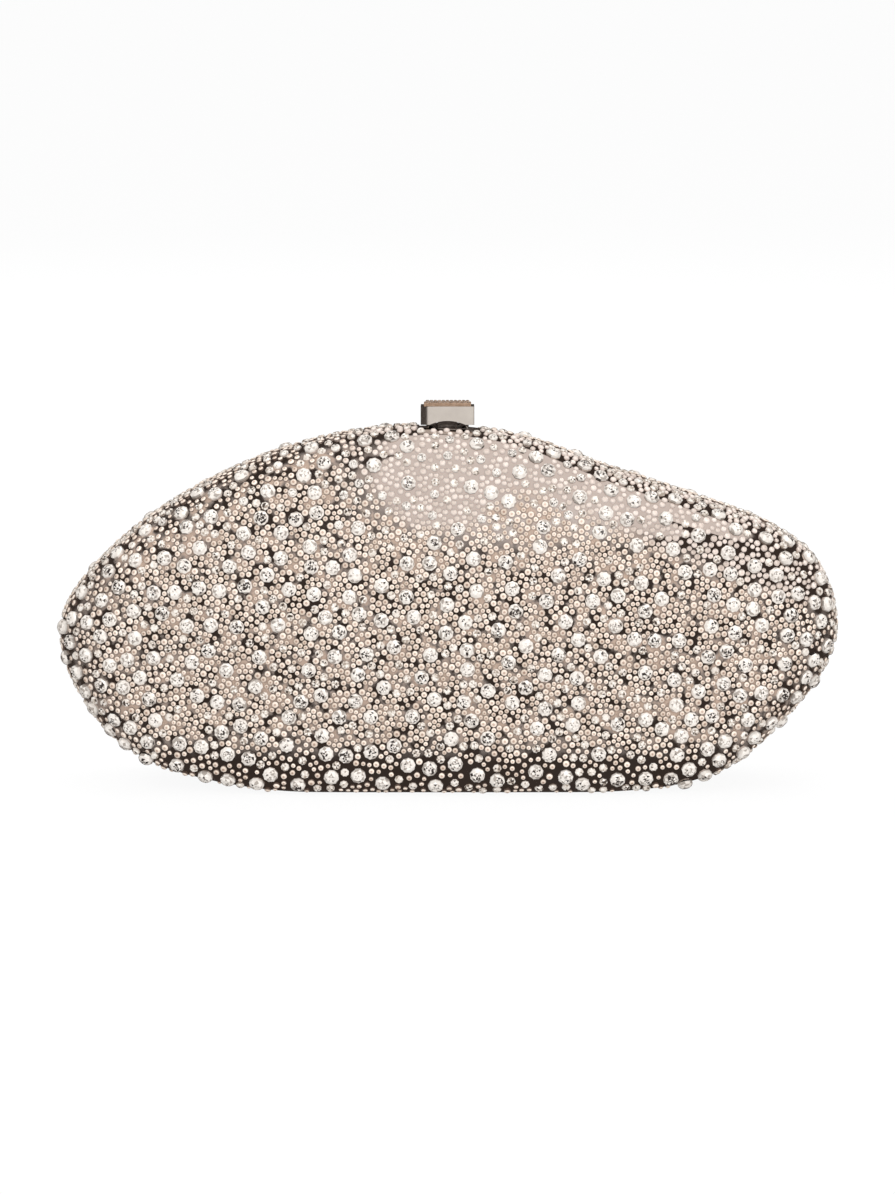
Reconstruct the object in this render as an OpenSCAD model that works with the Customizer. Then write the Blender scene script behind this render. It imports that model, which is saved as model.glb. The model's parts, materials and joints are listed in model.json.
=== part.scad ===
// Minaudiere: a hard evening clutch made of two hinged metal halves, set all over with crystals.
// +X is the right-hand end seen from the front, -Y is the front and +Z is up.
// The origin is under the middle of the base, on the surface that the case stands on.

/* [Case] */
// Width of the case along its seam
case_w = 198.4; // [170:0.2:225]
// Height of the case along its seam
case_h = 91.6; // [82:0.2:104]
// Greatest depth of one half, from the seam to the middle of its face
half_depth = 24; // [20:0.5:28]
// Thickness of the metal shells
wall = 1.2; // [1:0.1:1.5]
// Gap between the halves when the case is closed
seam_gap = 0.3; // [0.2:0.05:0.4]
// Depth of the straight rim beside the seam, on each half
rim_depth = 3.2; // [2.8:0.1:4]
// Radius that turns the base up into the face
base_corner = 7; // [5:0.5:9]
// Radius that turns the ends into the face
end_corner = 14; // [11:0.5:16]
// Radius that turns the top into the face
top_corner = 7; // [5:0.5:9]

/* [Rim frames and lining] */
// Thickness of the frame inside each rim
frame_t = 1.2; // [1:0.1:1.5]
// Thickness of the soft lining
lining_t = 1; // [0.6:0.1:1]

/* [Hinge] */
// Length of the hinge along the base
hinge_len = 80; // [56:1:80]
// Number of knuckles along the hinge
knuckles = 11; // [7:2:15]
// Diameter of the knuckles
barrel_d = 3; // [2.8:0.1:3.2]
// Diameter of the hinge pin
hinge_pin_d = 1.5; // [1.2:0.1:1.7]
// Thickness of the hinge leaves
leaf_t = 0.7; // [0.5:0.1:0.9]
// Distance from the seam to the far edge of a leaf
leaf_reach = 8; // [7:0.5:10]
// Gap between neighbouring knuckles
knuckle_gap = 0.15; // [0.1:0.05:0.3]
// Width of the groove in the base beyond the knuckles, on each side
groove_gap = 0.25; // [0.2:0.05:0.4]
// Length of the groove in the base
groove_len = 120; // [116:1:124]
// Number of rivets through each leaf
leaf_rivets = 6; // [4:1:8]

/* [Rivets and screws] */
// Diameter of the rivets and of the screw threads
rivet_d = 1.2; // [0.9:0.1:1.3]
// Diameter of the rivet and screw heads
head_d = 2.2; // [1.8:0.1:2.3]
// Height of the rivet and screw heads
head_h = 0.5; // [0.3:0.1:0.6]

/* [Clasp] */
// Width of the clasp bar
bar_w = 13.6; // [12.6:0.2:15]
// Height of the clasp bar
bar_h = 4.9; // [4.7:0.1:5.4]
// Thickness of the clasp bar and of the top of the lever
bar_t = 1.2; // [1:0.1:1.4]
// Gap between the flat under the clasp and the foot of the bar
bar_lift = 1.4; // [1.2:0.1:1.6]
// Width of the arch under the bar
arch_w = 9.1; // [8:0.1:9.6]
// Height of the arch under the bar
arch_h = 1; // [0.8:0.1:1.2]
// Distance from the seam to the front of the bar
bar_reach = 4; // [3.9:0.1:4.6]
// Distance from the seam to the back of the lever
thumb_reach = 6.8; // [6.6:0.1:7.4]
// Height of the lip that the thumb presses at the back
thumb_lip_h = 2.4; // [1.8:0.1:2.6]
// Thickness of the lever's cheeks
cheek_t = 1.1; // [0.9:0.1:1.2]
// Thickness of the bracket's cheeks
bracket_cheek_t = 1.2; // [1:0.1:1.4]
// Thickness of the bracket's foot
bracket_foot_t = 0.8; // [0.6:0.1:0.9]
// Distance from the seam to the pivot
pivot_y = 2.6; // [2.5:0.05:2.7]
// Height of the pivot above the flat under the clasp
pivot_rise = 3.1; // [3:0.1:3.3]
// Diameter of the pivot pin
pivot_d = 1.6; // [1.2:0.1:1.6]
// Radial clearance of a pin in a bore that turns on it
running_gap = 0.03; // [0.02:0.01:0.06]
// Thickness of the strike's foot
strike_foot_t = 0.4; // [0.3:0.05:0.6]
// Width of the strike's lug
lug_w = 5; // [4:0.1:5.2]
// Height of the strike's lug above the flat under the clasp
lug_h = 3.1; // [2.9:0.1:3.2]
// Diameter of the spring's coils over the wire
spring_d = 2.1; // [1.8:0.1:2.2]
// Diameter of the spring's wire
spring_wire_d = 0.4; // [0.3:0.05:0.45]
// Number of turns in the spring
spring_turns = 5; // [3:1:6]

/* [Crystals] */
// Diameter of the large crystals
crystal_d = 3.9; // [3.2:0.1:4.2]
// Height that the large crystals stand above the metal
crystal_h = 1.1; // [0.8:0.1:1.4]
// Depth that the large crystals are set into the metal
crystal_sink = 0.5; // [0.3:0.1:0.7]
// Least distance between the middles of two large crystals
crystal_pitch = 4.8; // [4.4:0.1:8]
// Diameter of the small stones on the clasp
clasp_stone_d = 2.2; // [1.6:0.1:2.2]
// Height of the small stones on the clasp
clasp_stone_h = 0.5; // [0.3:0.1:0.7]

/* [Hidden] */
$fn = 48;
// Extra length that carries a cut past the face it opens
overrun = 0.5;

// The outline of the case at its seam, as shares of half its width and of its height.
// It runs from the middle of the base round the right end, over the top and back by the left end.
outline_shares = [[0, 0], [0.417, 0], [0.697, 0.048], [0.884, 0.207], [1, 0.4], [0.964, 0.602],
                  [0.836, 0.72], [0.613, 0.811], [0.391, 0.891], [0.188, 0.97], [-0.04, 1], [-0.276, 0.976],
                  [-0.51, 0.898], [-0.725, 0.775], [-0.888, 0.63], [-0.996, 0.458], [-0.947, 0.253],
                  [-0.776, 0.081], [-0.417, 0]];
// Steps between two of those points
outline_steps = 3;
// Steps round the corner, and from there to the middle of the face
corner_steps = 5;
face_steps = 5;
// Where the face is thickest, as shares of half the width and of the height
middle_share = [-0.02, 0.46];
// How far the face has fallen back at the ends and at the top, as shares of its depth
end_fall_share = 0.45;
top_fall_share = 0.58;
// Height at which the face starts to lean back, as a share of the case's height
lean_share = 0.38;
// Straight length behind the rim before the corner starts
rim_run = 0.5;

function size_point(s) = [s[0] * case_w / 2, s[1] * case_h];

function curve_point(a, b, c, d, t) =
    (2 * b + (c - a) * t + (2 * a - 5 * b + 4 * c - d) * t * t + (3 * b - a - 3 * c + d) * t * t * t) / 2;

function share_at(i) = outline_shares[(i + len(outline_shares)) % len(outline_shares)];

// The smooth outline, flattened where it meets the ground
outline = [for (i = [0 : len(outline_shares) - 1], s = [0 : outline_steps - 1])
    let (p = size_point(curve_point(share_at(i - 1), share_at(i), share_at(i + 1), share_at(i + 2),
                                    s / outline_steps)))
    [p[0], max(0, p[1])]];
count = len(outline);

function unit(v) = v / norm(v);
function mix(a, b, t) = a + (b - a) * t;
function outline_at(i) = outline[(i + count) % count];

// Directions that point into the case, square to the outline
inward = [for (i = [0 : count - 1]) let (t = unit(outline_at(i + 1) - outline_at(i - 1))) [-t[1], t[0]]];

// Depth of the face over a place in the outline
function face_depth(p) =
    half_depth * (1 - end_fall_share * pow(abs(p[0]) * 2 / case_w, 2.6))
    * (1 - top_fall_share * pow(max(0, (p[1] / case_h - lean_share) / (1 - lean_share)), 1.7));

// Radius of the corner, and depth at which it starts, for a direction into the case
function corner_radius(n) = mix(end_corner, n[1] > 0 ? base_corner : top_corner, n[1] * n[1]);
function corner_start(n) =
    mix(rim_depth + rim_run, half_depth - base_corner, pow(max(0, n[1]), 4));

// A place on a skin that lies a given depth inside the outer surface, in the front half.
// Rings 0 to 2 follow the straight rim, the next ones the corner, and the rest close in on the middle.
function skin_point(i, ring, depth) =
    let (n = inward[i], r = corner_radius(n), start = corner_start(n),
         a = 90 * min(1, max(0, (ring - 2) / corner_steps)),
         edge = outline[i] + n * (depth + (r - depth) * (1 - cos(a))),
         p = mix(edge, size_point(middle_share), max(0, (ring - 2 - corner_steps) / face_steps)),
         y = ring == 0 ? seam_gap / 2 : ring == 1 ? rim_depth
             : start + (face_depth(p) - depth - start) * sin(a))
    [p[0], -y, p[1]];

last_ring = 2 + corner_steps + face_steps - 1;

// A layer of even thickness that follows the case, from a ring near the seam over the whole face
module layer(outer_depth, inner_depth, first_ring) {
    rings = last_ring - first_ring + 1;
    middle = size_point(middle_share);
    skins = [for (d = [outer_depth, inner_depth])
        [for (ring = [first_ring : last_ring], i = [0 : count - 1]) skin_point(i, ring, d)]];
    tips = [for (d = [outer_depth, inner_depth]) [middle[0], d - face_depth(middle), middle[1]]];
    points = concat(skins[0], skins[1], tips);
    half = rings * count;
    faces = [for (s = [0, 1], ring = [0 : rings - 2], i = [0 : count - 1])
        let (a = s * half + ring * count + i, b = s * half + ring * count + (i + 1) % count)
        each s == 0 ? [[a, b + count, b], [a, a + count, b + count]]
                    : [[a, b, b + count], [a, b + count, a + count]]];
    caps = [for (s = [0, 1], i = [0 : count - 1])
        let (a = s * half + (rings - 1) * count + i, b = s * half + (rings - 1) * count + (i + 1) % count)
        s == 0 ? [b, a, 2 * half] : [a, b, 2 * half + 1]];
    lip = [for (i = [0 : count - 1]) let (j = (i + 1) % count)
        each [[i, half + j, half + i], [i, j, half + j]]];
    polyhedron(points = points, faces = concat(faces, caps, lip), convexity = 6);
}

// Heights that the pieces at the base share
frame_top = wall + frame_t;
leaf_top = frame_top + leaf_t;
leaf_drop = 0.1;
hinge_z = leaf_top + leaf_drop - barrel_d / 2;
groove_half = barrel_d / 2 + groove_gap;

// Heights and places that the pieces of the clasp share
clasp_flat_cut = 0.7;
clasp_flat_z = case_h - clasp_flat_cut;
clasp_flat_margin = 0.4;
clasp_flat_back = 6;
bar_foot_z = clasp_flat_z + bar_lift;
lever_top_z = bar_foot_z + bar_h;
lever_under_z = lever_top_z - bar_t;
pivot_z = clasp_flat_z + pivot_rise;
pivot_boss_r = 1.6;
cheek_gap = 0.3;
bracket_w = bar_w - 2 * cheek_t - 2 * cheek_gap;
foot_inset = 0.3;

module groove() {
    translate([-groove_len / 2, -groove_half, -overrun])
        cube([groove_len, 2 * groove_half, leaf_top + 2 * overrun]);
}

// The flat across both halves that the clasp stands on
module clasp_flat() {
    translate([-bar_w / 2 - clasp_flat_margin, -bar_reach, clasp_flat_z])
        cube([bar_w + 2 * clasp_flat_margin, bar_reach + clasp_flat_back + foot_inset, bar_h]);
}

module at_places(places) {
    for (p = places) translate(p) children();
}

leaf_rivet_y = (rim_depth + leaf_reach) / 2;
leaf_rivet_places = [for (i = [0 : leaf_rivets - 1])
    [hinge_len * ((i + 0.5) / leaf_rivets - 0.5), -leaf_rivet_y, 0]];

// Places of the fasteners under the clasp, and how far they reach through the rim
latch_gap = 0.1;
strike_reach = bar_reach - bar_t - latch_gap;
strike_w = bar_w - 2 * foot_inset;
strike_rivet_places = [for (side = [-1, 1])
    [side * (strike_w + lug_w) / 4, -(strike_reach + foot_inset) / 2, 0]];
bracket_screw_places = [for (side = [-1, 1])
    [side * (bracket_w / 2 - bracket_cheek_t) / 2, (foot_inset + rim_depth) / 2, 0]];
tail_h = 0.5;
rim_under_z = case_h - frame_top - tail_h;

module clasp_bores() {
    at_places(concat(strike_rivet_places, bracket_screw_places))
        translate([0, 0, rim_under_z]) cylinder(d = rivet_d, h = case_h - rim_under_z);
}

// Shells

module half_shell() {
    difference() {
        layer(0, wall, 0);
        groove();
    }
}

module rear_shell() {
    color("#b9aea6") difference() {
        mirror([0, 1, 0]) half_shell();
        clasp_flat();
        clasp_bores();
    }
}

module front_shell() {
    color("#b9aea6") difference() {
        half_shell();
        clasp_flat();
        clasp_bores();
    }
}

// Rim frames, each with a seat for its hinge leaf

module half_frame() {
    ring = concat([for (i = [0 : count - 1]) outline[i] + inward[i] * wall],
                  [for (i = [0 : count - 1]) outline[i] + inward[i] * frame_top]);
    difference() {
        union() {
            translate([0, -seam_gap / 2, 0]) rotate([90, 0, 0])
                linear_extrude(rim_depth - seam_gap / 2)
                    polygon(ring, [[for (i = [0 : count - 1]) i], [for (i = [0 : count - 1]) count + i]]);
            translate([-hinge_len / 2, -leaf_reach, wall])
                cube([hinge_len, leaf_reach - groove_half, frame_t]);
        }
        groove();
        at_places(leaf_rivet_places) cylinder(d = rivet_d, h = leaf_top);
    }
}

module rear_frame() {
    color("#8f8a86") difference() {
        mirror([0, 1, 0]) half_frame();
        clasp_bores();
    }
}

module front_frame() {
    color("#8f8a86") difference() {
        half_frame();
        clasp_bores();
    }
}

// Lining, left open over the hinge

module half_lining() {
    margin = head_d / 2;
    difference() {
        layer(wall, wall + lining_t, 1);
        translate([-hinge_len / 2 - margin, -leaf_reach - margin, 0])
            cube([hinge_len + 2 * margin, leaf_reach + margin, leaf_top + head_h + margin]);
    }
}

module rear_lining() {
    color("#cfc4b8") mirror([0, 1, 0]) half_lining();
}

module front_lining() {
    color("#cfc4b8") half_lining();
}

// Hinge

knuckle_pitch = hinge_len / knuckles;

module leaf(first) {
    knuckle_w = knuckle_pitch - knuckle_gap;
    difference() {
        union() {
            translate([-hinge_len / 2, -leaf_reach, frame_top])
                cube([hinge_len, leaf_reach - groove_half, leaf_t]);
            for (k = [first : 2 : knuckles - 1])
                translate([-hinge_len / 2 + k * knuckle_pitch + knuckle_gap / 2, 0, 0]) {
                    translate([0, -leaf_reach, frame_top]) cube([knuckle_w, leaf_reach, leaf_t]);
                    translate([0, 0, hinge_z]) rotate([0, 90, 0]) cylinder(d = barrel_d, h = knuckle_w);
                }
        }
        translate([-hinge_len / 2 - overrun, 0, hinge_z]) rotate([0, 90, 0])
            cylinder(d = hinge_pin_d + 2 * running_gap, h = hinge_len + 2 * overrun);
        at_places(leaf_rivet_places) cylinder(d = rivet_d, h = leaf_top + overrun);
    }
}

module hinge_rear_leaf() {
    color("#a9a39d") mirror([0, 1, 0]) leaf(0);
}

module hinge_front_leaf() {
    color("#a9a39d") leaf(1);
}

module hinge_pin() {
    color("#c9c5c0") translate([-hinge_len / 2, 0, hinge_z]) rotate([0, 90, 0])
        cylinder(d = hinge_pin_d, h = hinge_len);
}

// A rivet or screw whose shank stands on the origin, with its head on top
module fastener(grip) {
    cylinder(d = rivet_d, h = grip);
    translate([0, 0, grip]) cylinder(d1 = head_d, d2 = head_d / 2, h = head_h);
}

module leaf_rivet_set() {
    at_places(leaf_rivet_places) translate([0, 0, wall]) fastener(leaf_top - wall);
}

module hinge_rear_rivets() {
    color("#d0ccc7") mirror([0, 1, 0]) leaf_rivet_set();
}

module hinge_front_rivets() {
    color("#d0ccc7") leaf_rivet_set();
}

// Clasp

module pivot_bar(d, half_w) {
    translate([-half_w, pivot_y, pivot_z]) rotate([0, 90, 0]) cylinder(d = d, h = 2 * half_w);
}

module clasp_bracket() {
    color("#a9a39d") difference() {
        union() {
            translate([-bracket_w / 2, foot_inset, clasp_flat_z])
                cube([bracket_w, clasp_flat_back - foot_inset, bracket_foot_t]);
            for (x = [-bracket_w / 2, bracket_w / 2 - bracket_cheek_t]) {
                translate([x, pivot_y - pivot_boss_r, clasp_flat_z])
                    cube([bracket_cheek_t, 2 * pivot_boss_r, pivot_rise]);
                translate([x, pivot_y, pivot_z]) rotate([0, 90, 0])
                    cylinder(r = pivot_boss_r, h = bracket_cheek_t);
            }
        }
        pivot_bar(pivot_d, bar_w);
        clasp_bores();
        at_places(bracket_screw_places) translate([0, 0, clasp_flat_z])
            cylinder(d = rivet_d, h = bracket_foot_t + overrun);
    }
}

module clasp_bracket_screws() {
    color("#d0ccc7") at_places(bracket_screw_places) translate([0, 0, rim_under_z])
        fastener(clasp_flat_z + bracket_foot_t - rim_under_z);
}

// The tray of small stones is let into the top of the lever
tray_inset = 0.8;
tray_t = 0.6;
tray_sink = 0.3;
tray_back = 4.4;
tray_w = bar_w - 2 * tray_inset;
tray_d = bar_reach - tray_inset + tray_back;
tray_z = lever_top_z - tray_sink;
tray_columns = 5;
tray_rows = 3;

module tray_block(t) {
    translate([-tray_w / 2, -bar_reach + tray_inset, tray_z]) cube([tray_w, tray_d, t]);
}

module clasp_lever() {
    arch_r = (arch_w * arch_w / 4 + arch_h * arch_h) / (2 * arch_h);
    cheek_drop = pivot_boss_r * 0.8;
    color("#d8d5d2") difference() {
        union() {
            translate([-bar_w / 2, -bar_reach, bar_foot_z]) cube([bar_w, bar_t, bar_h]);
            translate([-bar_w / 2, -bar_reach, lever_under_z]) cube([bar_w, bar_reach + thumb_reach, bar_t]);
            translate([-bar_w / 2, thumb_reach - cheek_t, lever_top_z - thumb_lip_h])
                cube([bar_w, cheek_t, thumb_lip_h]);
            for (x = [-bar_w / 2, bar_w / 2 - cheek_t]) {
                translate([x, -bar_reach, lever_under_z - cheek_drop])
                    cube([cheek_t, bar_reach + thumb_reach, cheek_drop + bar_t]);
                translate([x, pivot_y, pivot_z]) rotate([0, 90, 0]) cylinder(r = pivot_boss_r, h = cheek_t);
            }
        }
        translate([0, -bar_reach - overrun, bar_foot_z + arch_h - arch_r]) rotate([-90, 0, 0])
            cylinder(r = arch_r, h = bar_t + 2 * overrun, $fn = 96);
        pivot_bar(pivot_d + 2 * running_gap, bar_w);
        tray_block(tray_t);
    }
}

module clasp_pivot_pin() {
    color("#c9c5c0") pivot_bar(pivot_d, bar_w / 2);
}

spring_y = pivot_y + pivot_d / 2 + spring_d / 2 + spring_wire_d / 2;

module clasp_spring() {
    sides = 6;
    steps = 12;
    rings = spring_turns * steps + 1;
    low = clasp_flat_z + bracket_foot_t + spring_wire_d / 2;
    high = lever_under_z - spring_wire_d / 2;
    points = [for (i = [0 : rings - 1], k = [0 : sides - 1])
        let (a = i * 360 / steps, b = k * 360 / sides, r = (spring_d - spring_wire_d + spring_wire_d * cos(b)) / 2)
        [r * cos(a), spring_y + r * sin(a), mix(low, high, i / (rings - 1)) + spring_wire_d / 2 * sin(b)]];
    walls = [for (i = [0 : rings - 2], k = [0 : sides - 1])
        let (a = i * sides + k, b = i * sides + (k + 1) % sides)
        each [[a, b, b + sides], [a, b + sides, a + sides]]];
    caps = [[for (k = [sides - 1 : -1 : 0]) k], [for (k = [0 : sides - 1]) (rings - 1) * sides + k]];
    color("#c9c5c0") polyhedron(points = points, faces = concat(walls, caps), convexity = 10);
}

module clasp_stone_tray() {
    color("#b98d72") tray_block(tray_t);
}

module clasp_stones() {
    color("#f2ece4") for (i = [0 : tray_columns - 1], j = [0 : tray_rows - 1])
        translate([tray_w * ((i + 0.5) / tray_columns - 0.5),
                   -bar_reach + tray_inset + tray_d * (j + 0.5) / tray_rows, tray_z + tray_t])
            cut_stone(clasp_stone_d, clasp_stone_h, 0);
}

module strike_plate() {
    color("#a9a39d") difference() {
        union() {
            translate([-strike_w / 2, -strike_reach, clasp_flat_z])
                cube([strike_w, strike_reach - foot_inset, strike_foot_t]);
            translate([-lug_w / 2, -strike_reach, clasp_flat_z]) cube([lug_w, bar_t, lug_h]);
        }
        at_places(strike_rivet_places) translate([0, 0, clasp_flat_z - overrun])
            cylinder(d = rivet_d, h = strike_foot_t + 2 * overrun);
    }
}

module strike_rivets() {
    color("#d0ccc7") at_places(strike_rivet_places) translate([0, 0, rim_under_z])
        fastener(clasp_flat_z + strike_foot_t - rim_under_z);
}

// Crystals

// A round stone with a flat table, standing on the origin and sunk below it
module cut_stone(d, h, sink) {
    girdle_share = 0.35;
    table_share = 0.57;
    rotate_extrude($fn = 24)
        polygon([[0, -sink], [d / 2, -sink], [d / 2, h * girdle_share], [d / 2 * table_share, h], [0, h]]);
}

// Distance of a place from the outline, more than 0 inside it, and the direction into the case there
function edge_near(p) =
    let (gaps = [for (i = [0 : count - 1])
             let (a = outline[i], b = outline_at(i + 1) - a, t = max(0, min(1, (p - a) * b / (b * b))))
             norm(p - a - t * b)],
         i = search(min(gaps), gaps)[0], t = unit(outline_at(i + 1) - outline[i]), n = [-t[1], t[0]])
    [(p - outline[i]) * n < 0 ? -min(gaps) : min(gaps), n];

probe = 0.1;
function face_slope(p) = [for (step = [[probe, 0], [0, probe]])
    (face_depth(p + step) - face_depth(p - step)) / (2 * probe)];

// A seat for a stone: its place on the front skin and the direction that it faces
function seat(p, n, a) =
    let (start = corner_start(n), rise = face_depth(p) - start,
         fall = face_slope(p) * sin(a) + n * rise * cos(a) / sin(a) / corner_radius(n))
    [[p[0], -start - rise * sin(a), p[1]], unit([-fall[0], -1, -fall[1]])];

function corner_seat(i, t, a) =
    let (n = unit(mix(inward[i], inward[(i + 1) % count], t)))
    seat(mix(outline[i], outline_at(i + 1), t) + n * corner_radius(n) * (1 - cos(a)), n, a);

function face_seat(p) =
    let (edge = edge_near(p)) edge[0] < corner_radius(edge[1]) ? undef : seat(p, edge[1], 90);

// A stone may not touch the ground, the groove or the flat under the clasp
ground_gap = 0.3;
function fits(s) =
    is_undef(s) ? false : let (r = crystal_d / 2, p = s[0], n = s[1])
    p[2] - r * sqrt(1 - n[2] * n[2]) + min(0, n[2]) * crystal_h > ground_gap
    && !(abs(p[0]) < bar_w / 2 + crystal_d && p[1] > -bar_reach - crystal_d && p[2] > clasp_flat_z - crystal_d);

function apart(found, s) = len([for (f = found) if (norm(f[0] - s[0]) < crystal_pitch) 1]) == 0;

function pick(seats, i = 0, found = []) =
    i == len(seats) ? found
    : pick(seats, i + 1, fits(seats[i]) && apart(found, seats[i]) ? concat(found, [seats[i]]) : found);

lowest_angle = 14;
tries_share = 1.3;

module half_crystals(seed) {
    tries = round(tries_share * case_w * case_h / (crystal_pitch * crystal_pitch));
    u = rands(0, 1, 4 * tries, seed);
    seats = [for (k = [0 : tries - 1])
        each [corner_seat(floor(u[4 * k] * count), u[4 * k + 1], mix(lowest_angle, 90, u[4 * k + 2])),
              face_seat([(u[4 * k + 3] - 0.5) * case_w, u[4 * k] * case_h])]];
    for (s = pick(seats))
        translate(s[0]) rotate([0, acos(s[1][2]), atan2(s[1][1], s[1][0])])
            cut_stone(crystal_d, crystal_h, crystal_sink);
}

module rear_crystals() {
    color("#efe9e2") mirror([0, 1, 0]) half_crystals(11);
}

module front_crystals() {
    color("#efe9e2") half_crystals(7);
}

rear_shell();
front_shell();
rear_frame();
front_frame();
rear_lining();
front_lining();
hinge_rear_leaf();
hinge_front_leaf();
hinge_pin();
hinge_rear_rivets();
hinge_front_rivets();
clasp_bracket();
clasp_bracket_screws();
clasp_lever();
clasp_pivot_pin();
clasp_spring();
clasp_stone_tray();
clasp_stones();
strike_plate();
strike_rivets();
rear_crystals();
front_crystals();
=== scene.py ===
import json
import math
import random

import bpy
import numpy as np
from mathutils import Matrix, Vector
from mathutils.bvhtree import BVHTree
from mathutils.kdtree import KDTree

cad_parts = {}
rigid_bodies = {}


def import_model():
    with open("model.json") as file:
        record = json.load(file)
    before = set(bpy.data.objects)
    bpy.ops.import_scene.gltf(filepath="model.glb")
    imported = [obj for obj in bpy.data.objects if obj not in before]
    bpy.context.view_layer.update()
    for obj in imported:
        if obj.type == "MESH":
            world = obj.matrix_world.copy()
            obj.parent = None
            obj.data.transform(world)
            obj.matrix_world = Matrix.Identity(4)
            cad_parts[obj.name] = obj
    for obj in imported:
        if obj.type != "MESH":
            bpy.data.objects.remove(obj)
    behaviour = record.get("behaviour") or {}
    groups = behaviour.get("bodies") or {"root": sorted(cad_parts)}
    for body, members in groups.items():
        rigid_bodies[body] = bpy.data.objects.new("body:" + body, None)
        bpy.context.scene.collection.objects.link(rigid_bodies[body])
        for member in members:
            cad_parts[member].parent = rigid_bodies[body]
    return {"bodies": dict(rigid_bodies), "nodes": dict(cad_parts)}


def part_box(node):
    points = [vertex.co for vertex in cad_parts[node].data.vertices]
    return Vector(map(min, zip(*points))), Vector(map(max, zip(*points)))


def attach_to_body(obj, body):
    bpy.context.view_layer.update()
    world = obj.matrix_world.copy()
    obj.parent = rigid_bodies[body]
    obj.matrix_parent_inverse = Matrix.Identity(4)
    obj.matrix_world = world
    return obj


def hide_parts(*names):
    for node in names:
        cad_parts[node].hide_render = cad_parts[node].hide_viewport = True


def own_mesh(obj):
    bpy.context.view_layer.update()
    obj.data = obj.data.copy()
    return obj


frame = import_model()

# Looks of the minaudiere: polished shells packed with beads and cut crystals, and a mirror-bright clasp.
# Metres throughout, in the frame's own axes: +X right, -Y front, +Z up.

MM = 0.001

# Stones and beads, as measured against the case
LARGE_R = 1.95 * MM
LARGE_CROWN = 1.1 * MM
LARGE_SINK = 0.5 * MM
LARGE_SIDES = 9
MIDDLE_R = 1.1 * MM
MIDDLE_CROWN = 0.75 * MM
MIDDLE_SINK = 0.3 * MM
SMALL_SIDES = 8
GIRDLE = 0.25
GIRDLE_REACH = 0.97
BEAD_R = 0.81 * MM
BEAD_CROWN = 0.62 * MM
BEAD_SIZES = (0.78, 0.88, 0.97, 1.05, 1.16)
BEAD_SIDES = 10
BEAD_RING_ANGLE = math.radians(28)
BEAD_STEPS = (math.radians(50), math.radians(68))
BEAD_SINK = 0.12

# Small beads for the gaps: their sizes, how many are tried, and the spread above which there are none
FILL_SIZES = (0.66, 0.74, 0.82)
FILL_TRIES = 24000
FILL_BELOW = 1.04

# The stones on the clasp's tray
PAVE_R = 0.5 * MM
PAVE_CROWN = 0.34 * MM
PAVE_SINK = 0.05 * MM
PAVE_PITCH = 1.02 * MM

# What each ring of a bead notes, and how far the rings reach: the tip, the dome and the ring at the foot
TIP_PART = 0.6
DOME_PART = 1.0
FOOT_PART = 0.2
TIP_REACH = 0.33
DOME_REACH = 0.85

# The rings of facets of a stone: how much of the crown each rises, and how far it steps in
LARGE_STEPS = ((0.42, 0.80), (0.33, 0.66), (0.0, 0.5))
SMALL_STEPS = ((0.60, 0.66),)

# How often a facet is dark, from the table out, or grey, and the tones that the finish reads, all painted
# reflections of a clear cut stone. Each stone has more or fewer dark ones: its chances times the least
# share and up to the swing on top of it.
DARK_LEAST = 0.15
DARK_SWING = 2.2
LARGE_CHANCES = (0.22, 0.18, 0.08, 0.03, 0.0)
MIDDLE_CHANCES = (0.16, 0.05, 0.0)
PAVE_CHANCES = (0.2, 0.1, 0.0)
GREY_CHANCE = 0.22
DARK_TONE = 0.05
GREY_TONE = 0.2
PALE_TONE = 0.3

# How closely stones and beads are set, as shares of their touching distance
MIDDLE_GAP = 1.04
BEAD_GAP = 0.94
BEAD_STEP = (0.97, 0.06)
GAP_FOLLOWS = 0.85
TOO_CLOSE = 0.9

# How many middle crystals there are and are tried, how many of them line the rim, and how many places
# round a stone are tried for a bead
MIDDLES_PER_LARGE = 1.6
MIDDLE_TRIES = 60
RIM_MIDDLES = 110
RIM_BAND = 3.0 * MM
TURNS = 30

# What stones keep clear of: the parting, the ground, the clasp, and the faces that the case stands on
RIM_CLEAR = 0.5 * MM
RIM_DEPTH = 3.0 * MM
GROUND_CLEAR = 0.15 * MM
CLASP_CLEAR = 0.5 * MM
BAR_CLEAR = 0.15 * MM
BRACKET_CLEAR = 1.0 * MM
FACES_DOWN = -0.93

# Near the top some of the large stones are smaller
BROW_Z = 68.0 * MM
BROW_CHANCE = 0.42
SMALL_SHARE = 0.62

# Where the beads thin out, and by how much: by the rim, towards the top, and at the foot
SKIN_MIDDLE = Vector((0, 0, 45.0 * MM))
RIM_SPARSE = 8.0 * MM
RIM_THINNER = 0.30
TOP_SPARSE_Z = 66.0 * MM
TOP_SPARSE_RUN = 12.0 * MM
TOP_SPARSE_X = -32.0 * MM
TOP_THINNER = 0.08
FOOT_SPARSE_Z = 15.0 * MM
FOOT_SPARSE_RUN = 9.0 * MM
FOOT_THINNER = 0.32

# The photograph's view
IMAGE_H = 1194
MM_PER_PIXEL = 0.256
ELEVATION = 9.0
LENS = 135.0
SENSOR = 36.0
AIM_Z = 47.5 * MM

# Lip on the rear frame
LIP_INSET = 0.2 * MM
LIP_RISE = 0.24 * MM

# Piping and stitches of the linings
PIPING_R = 0.55 * MM
PIPING_PROUD = 0.15 * MM
STITCH_R = 0.85 * MM
STITCH_CROWN = 0.24 * MM
STITCH_SLIM = 0.27
STITCH_PITCH = 2.6 * MM
STITCH_BELOW = 2.2 * MM
WALL_BAND = 1.0 * MM

# How far two measures may differ and still count as the same
LOOSE = 0.05 * MM
TIGHT = 0.02 * MM
WELD = 0.002 * MM

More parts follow.
